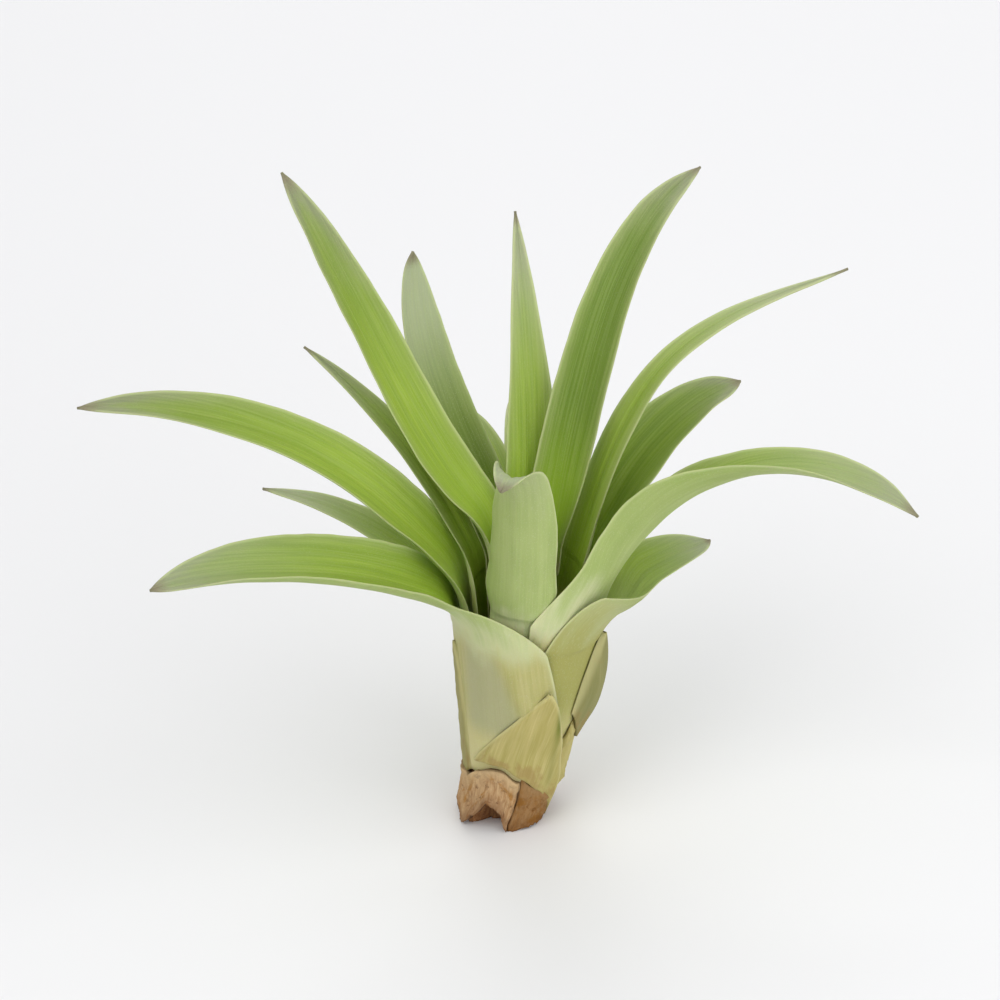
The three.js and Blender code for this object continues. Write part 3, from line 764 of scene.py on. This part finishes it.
def grow_leaf(leaf, finish, slot, seed):
    """A leaf, from its sheath's foot to its tip, with a low keel, faint ribs and dents, and
    wavy margins. The sheath's margins are pressed on what it wraps."""
    keel_spread, full_wave_width, ribs = 0.16, 8, 5
    v = np.sin(np.linspace(-0.5, 0.5, leaf.get("columns", LEAF_COLUMNS) + 1) * math.pi)
    edge = np.abs(v)
    sheet = Sheet(v, seed)
    left_wave, right_wave = waves(seed, 9, 30), waves(seed + 1, 9, 30)
    nibble = waves(seed + 2, 3, 11)
    dents = rumple(seed + 3, 6, 20)
    for s in [*sheath_sections(leaf), *blade_sections(leaf)]:
        t, run = s["reach"], s["run"]
        tangent = direction(s["plane"], s["azimuth"])
        inward = turned(direction(s["plane"] + 90, s["azimuth"]), tangent, math.radians(s["roll"]))
        sideways = np.cross(inward, tangent)
        blade = float(smooth(t, 0.0, 0.2))
        nibbled = s["width"] * (1 + 0.006 * blade * nibble(run))
        angle = s["skew"] + nibbled / (2 * s["radius"]) * v
        axis = s["centre"] + inward * s["radius"]
        out = np.sin(angle)[:, None] * sideways - np.cos(angle)[:, None] * inward
        wall = lerp(lerp(BLADE_WALL, TIP_WALL, t) if t > 0 else SHEATH_WALL, MARGIN_WALL, edge ** 2.5)
        keel = leaf.get("keel", 0.22) * np.exp(-(v / keel_spread) ** 2) * blade * (1 - 0.6 * t)
        wave = np.where(v < 0, left_wave(run), right_wave(run)) * edge ** 3
        wave = wave * 0.16 * blade * min(1.0, s["width"] / full_wave_width)
        dented = dents(v * s["width"] / 2, run) * 0.06 * blade
        ribbed = 0.045 * np.cos(v * math.pi * ribs) * (1 - v * v) * blade
        pressed = 0.3 * smooth(edge, 0.8, 1.0) * (1 - blade)
        lift, streak_and_painted_shade = keel + wave + dented + ribbed - pressed, 0
        # The fold stands out on its right, with painted shade in the hollow on its left
        if leaf.get("folded") and t < 0.05:
            stand, streak_and_painted_shade = sheath_fold(s["azimuth"] + np.degrees(angle), s["centre"][2])
            lift += stand
        outer = axis + out * (s["radius"] + lift + wall / 2)[:, None]
        inner = axis + out * (s["radius"] + lift - wall / 2)[:, None]
        sheet.add_ring(outer, inner, t, s["width"] / 2, run, streak_and_painted_shade)
    sheet.add_to_scene(
        leaf["name"], finish, slot, silver=leaf["silver"], sun=leaf["sun"],
        olive=leaf.get("olive", 0.15), bloom=leaf.get("bloom", 0))


def stalk_point(azimuth, radius, height):
    """Points of the stalk, level and centred on the foot near the ground."""
    azimuth = np.radians(azimuth)
    x = radius * np.cos(azimuth) - STALK_OFFSET * (1 - smooth(height, 0, FOOT_BLEND))
    y = radius * np.sin(azimuth)
    level = math.tan(math.radians(LEAN)) * (1 - smooth(height, 0, GROUND_BLEND))
    return np.stack([x, y, height + x * level], -1)


def green_streak(azimuth, height, w):
    """How dark the streak on the front scale is, fading towards the foot and the point."""
    dark = np.exp(-((azimuth - STREAK["azimuth"]) / STREAK["spread"]) ** 2) * smooth(height, 8, 12)
    return dark * (0.45 + 0.55 * smooth(height, 18, 23)) * (1 - smooth(w, 0.85, 1))


def hug_stalk(plate, finish, slot, seed):
    """A scale that tapers to a point, or a torn husk with ragged edges, round the stalk."""
    torn = "high" in plate
    columns, rows, grain_length = (64, 24, 8) if torn else (40, 48, 18)
    narrowest, middle_out, pressed = 1.0, 0.3, 0.4
    u = np.linspace(0, 1, columns + 1)
    v = 2 * u - 1
    edge = np.abs(v)
    sheet = Sheet(v, seed)
    tear, tear_low = waves(seed, 0.9, 5), waves(seed + 1, 0.8, 4)
    dents = rumple(seed + 2, 2.5, 8 if torn else 11)
    bits = rumple(seed + 3, 0.7, 2.2, 12)
    wrap, thick = plate["wrap"], plate.get("thick", SCALE_WALL)
    arc = v * math.radians(wrap) * STALK_ARC
    low = ragged(plate["low"], u)
    if torn:
        low = low + 0.35 * np.clip(tear_low(arc), 0, 1) * (low > 0.2)
        high = ragged(plate["high"], u) + 0.45 * tear(arc)
    else:
        high = plate["top"]
        taper = np.where(u < 0.5, *plate.get("tapers", (0.5, 0.5)))
    for row in range(rows + 1):
        w = row / rows
        half = wrap if torn else np.maximum(wrap * (1 - w) ** taper, narrowest)
        azimuth = plate["azimuth"] + plate.get("skew", 0) * w + half * v
        height = lerp(low, high, w)
        radius = (layer_radius(plate.get("layer", OUTER_LAYER), height)
                  + plate.get("lift", 0) * w ** 3
                  + plate.get("bulge", 0) * math.sin(math.pi * w) * (1 - edge ** 2)
                  - pressed * edge ** 4 + middle_out)
        streak_and_painted_shade = green_streak(azimuth, height, w) if plate.get("streaked") else 0
        if torn:
            # Lumps and small bits, swollen along the torn upper edge. Shifts along the arc
            # keep the swelling unlike the tear, and the inner face unlike the outer one.
            wall = thick * (1 - 0.35 * w ** 3) * (1 - 0.3 * edge ** 6)
            swell = dents(arc, height) * 0.34 + bits(arc, height) * 0.2 - 0.15
            swell += 0.35 * w ** 4 * tear(arc + 5)
            inner_swell = bits(arc + 9, height) * 0.12
        else:
            wall = thick * (1 - 0.6 * edge ** 3) * (1 - 0.4 * w)
            swell = dents(arc, height) * 0.1 - 0.25 * smooth(edge, 0.75, 1)
            inner_swell = swell
        outer = stalk_point(azimuth, radius + swell, height)
        inner = stalk_point(azimuth, radius - wall + inner_swell, height)
        half_width = math.radians(np.mean(half)) * STALK_ARC
        sheet.add_ring(outer, inner, w, half_width, w * grain_length, streak_and_painted_shade)
    sheet.add_to_scene(plate["name"], finish, slot, olive=plate.get("olive", 0.0))


def carve_stem(finish):
    """The woody stem with its rough broken foot, hollow where the wood broke out."""
    sides, smallest, lowest = 96, 0.3, 0.1
    azimuth = np.arange(sides) * 360 / sides
    arc = np.radians(azimuth) * STEM_ARC
    heights, radii = zip(*STEM_PROFILE)
    bark = rumple(41, 1.2, 5, 14)
    fall = np.abs((azimuth - NOTCH["azimuth"] + 180) % 360 - 180) / NOTCH["half_width"]
    notch = NOTCH["depth"] * (1 - smooth(fall, 0.4, 1))
    rings, grain = [], []
    for depth, radius in HOLLOW_PROFILE:
        height = depth + 0.25 * bark(arc * radius / STEM_ARC, depth * 3)
        round_way = np.maximum(radius - notch * radius / radii[0], smallest)
        rings.append(stalk_point(azimuth, round_way, np.maximum(height, lowest)))
        grain.append(ring_grain(arc, -radius, WOOD_GRAIN))
    for height in [*np.linspace(0.0, 14, 40), *np.linspace(14.6, STEM_TOP, 36)]:
        radius = np.interp(height, heights, radii)
        broken = notch * (1 - smooth(height, 2, NOTCH["top"]))
        rough = bark(arc, height * 0.8) * (0.22 if height < 14 else 0.08)
        rings.append(stalk_point(azimuth, radius - broken - 0.15 + rough, height))
        grain.append(ring_grain(arc, height, WOOD_GRAIN))
    add_piece("stem_core", rings, round_faces(len(rings), sides), {}, grain, finish,
              "stem")


def roll_bud(finish):
    """The rolled youngest leaf in the heart of the rosette. The step where its margin lies
    over itself winds round it."""
    sides, rows, margin_step, winding = 36, 40, 0.16, 9
    azimuth = np.arange(sides) * 360 / sides
    heights, radii = zip(*BUD_PROFILE)
    levels = np.linspace(heights[0], heights[-1], rows)
    rings, grain = [], []
    for height in levels:
        radius = np.interp(height, heights, radii)
        spiral = 1 + margin_step * (((azimuth + height * winding) % 360) / 360 - 0.5)
        rings.append(stalk_point(azimuth, radius * spiral, height))
        grain.append(ring_grain(np.radians(azimuth) * 2, height, BUD_GRAIN))
    reach = np.linspace(0.09, 0.9, rows)[:, None]
    numbers = dict(inner=0.3, reach=reach, from_edge=2.0, streak_and_painted_shade=0.0,
                   silver=0.1, sun=0.8, olive=0.0, bloom=0.0)
    add_piece("heart_bud_skin", rings, round_faces(rows, sides), numbers, grain, finish,
              "heart_bud")


living, scaly, husky, woody = leaf_finish(), scale_finish(), husk_finish(), wood_finish()
for number, leaf in enumerate(LEAVES):
    young = leaf["name"].startswith("heart")
    grow_leaf(leaf, living, "young_leaf" if young else "leaf", 100 + 10 * number)
for number, plate in enumerate(SCALES):
    hug_stalk(plate, scaly, "outer_scale", 400 + 10 * number)
for number, plate in enumerate(HUSKS):
    hug_stalk(plate, scaly if plate.get("straw") else husky, "dry_husk", 500 + 10 * number)
carve_stem(woody)
roll_bud(living)


# Floor and light

# Lamps: where each hangs and how wide it is, in metres, its watts and its colour.
LAMPS = [
    dict(name="key", place=(-0.4, -0.5, 1.05), size=0.9, power=3.9, colour=(1.0, 0.985, 0.96)),
    dict(name="front", place=(0.55, -0.95, 0.4), size=0.8, power=3.2, colour=(1, 1, 1)),
    dict(name="fill", place=(0.8, -0.4, 0.8), size=0.9, power=3.0, colour=(1, 1, 1)),
    dict(name="back", place=(0.1, 0.9, 0.8), size=0.8, power=3.2, colour=(1, 1, 1)),
]
PLANT_MIDDLE = Vector((0, 0, 0.05))


def lay_floor():
    bpy.ops.mesh.primitive_plane_add(size=12, location=(0, 0, 0))
    floor = bpy.context.object
    floor.name = "floor"
    f = Finish("pale_floor")
    floor.data.materials.append(f.surface(Base_Color=(0.80, 0.80, 0.81, 1), Roughness=0.6,
                                          Specular_IOR_Level=0.2))


def hang_lamp(name, place, size, power, colour):
    data = bpy.data.lights.new(name, "AREA")
    data.shape, data.size, data.energy, data.color = "DISK", size, power, colour
    lamp = bpy.data.objects.new(name, data)
    lamp.location = place
    lamp.rotation_mode = "QUATERNION"
    lamp.rotation_quaternion = (PLANT_MIDDLE - Vector(place)).to_track_quat("-Z", "Y")
    bpy.context.scene.collection.objects.link(lamp)


def light_studio():
    world = bpy.data.worlds.new("studio")
    world.use_nodes = True
    background = world.node_tree.nodes["Background"]
    background.inputs["Color"].default_value = (0.985, 0.99, 1.0, 1)
    background.inputs["Strength"].default_value = 0.66
    bpy.context.scene.world = world
    for lamp in LAMPS:
        hang_lamp(**lamp)
    bpy.context.scene.view_settings.view_transform = "Standard"


lay_floor()
light_studio()
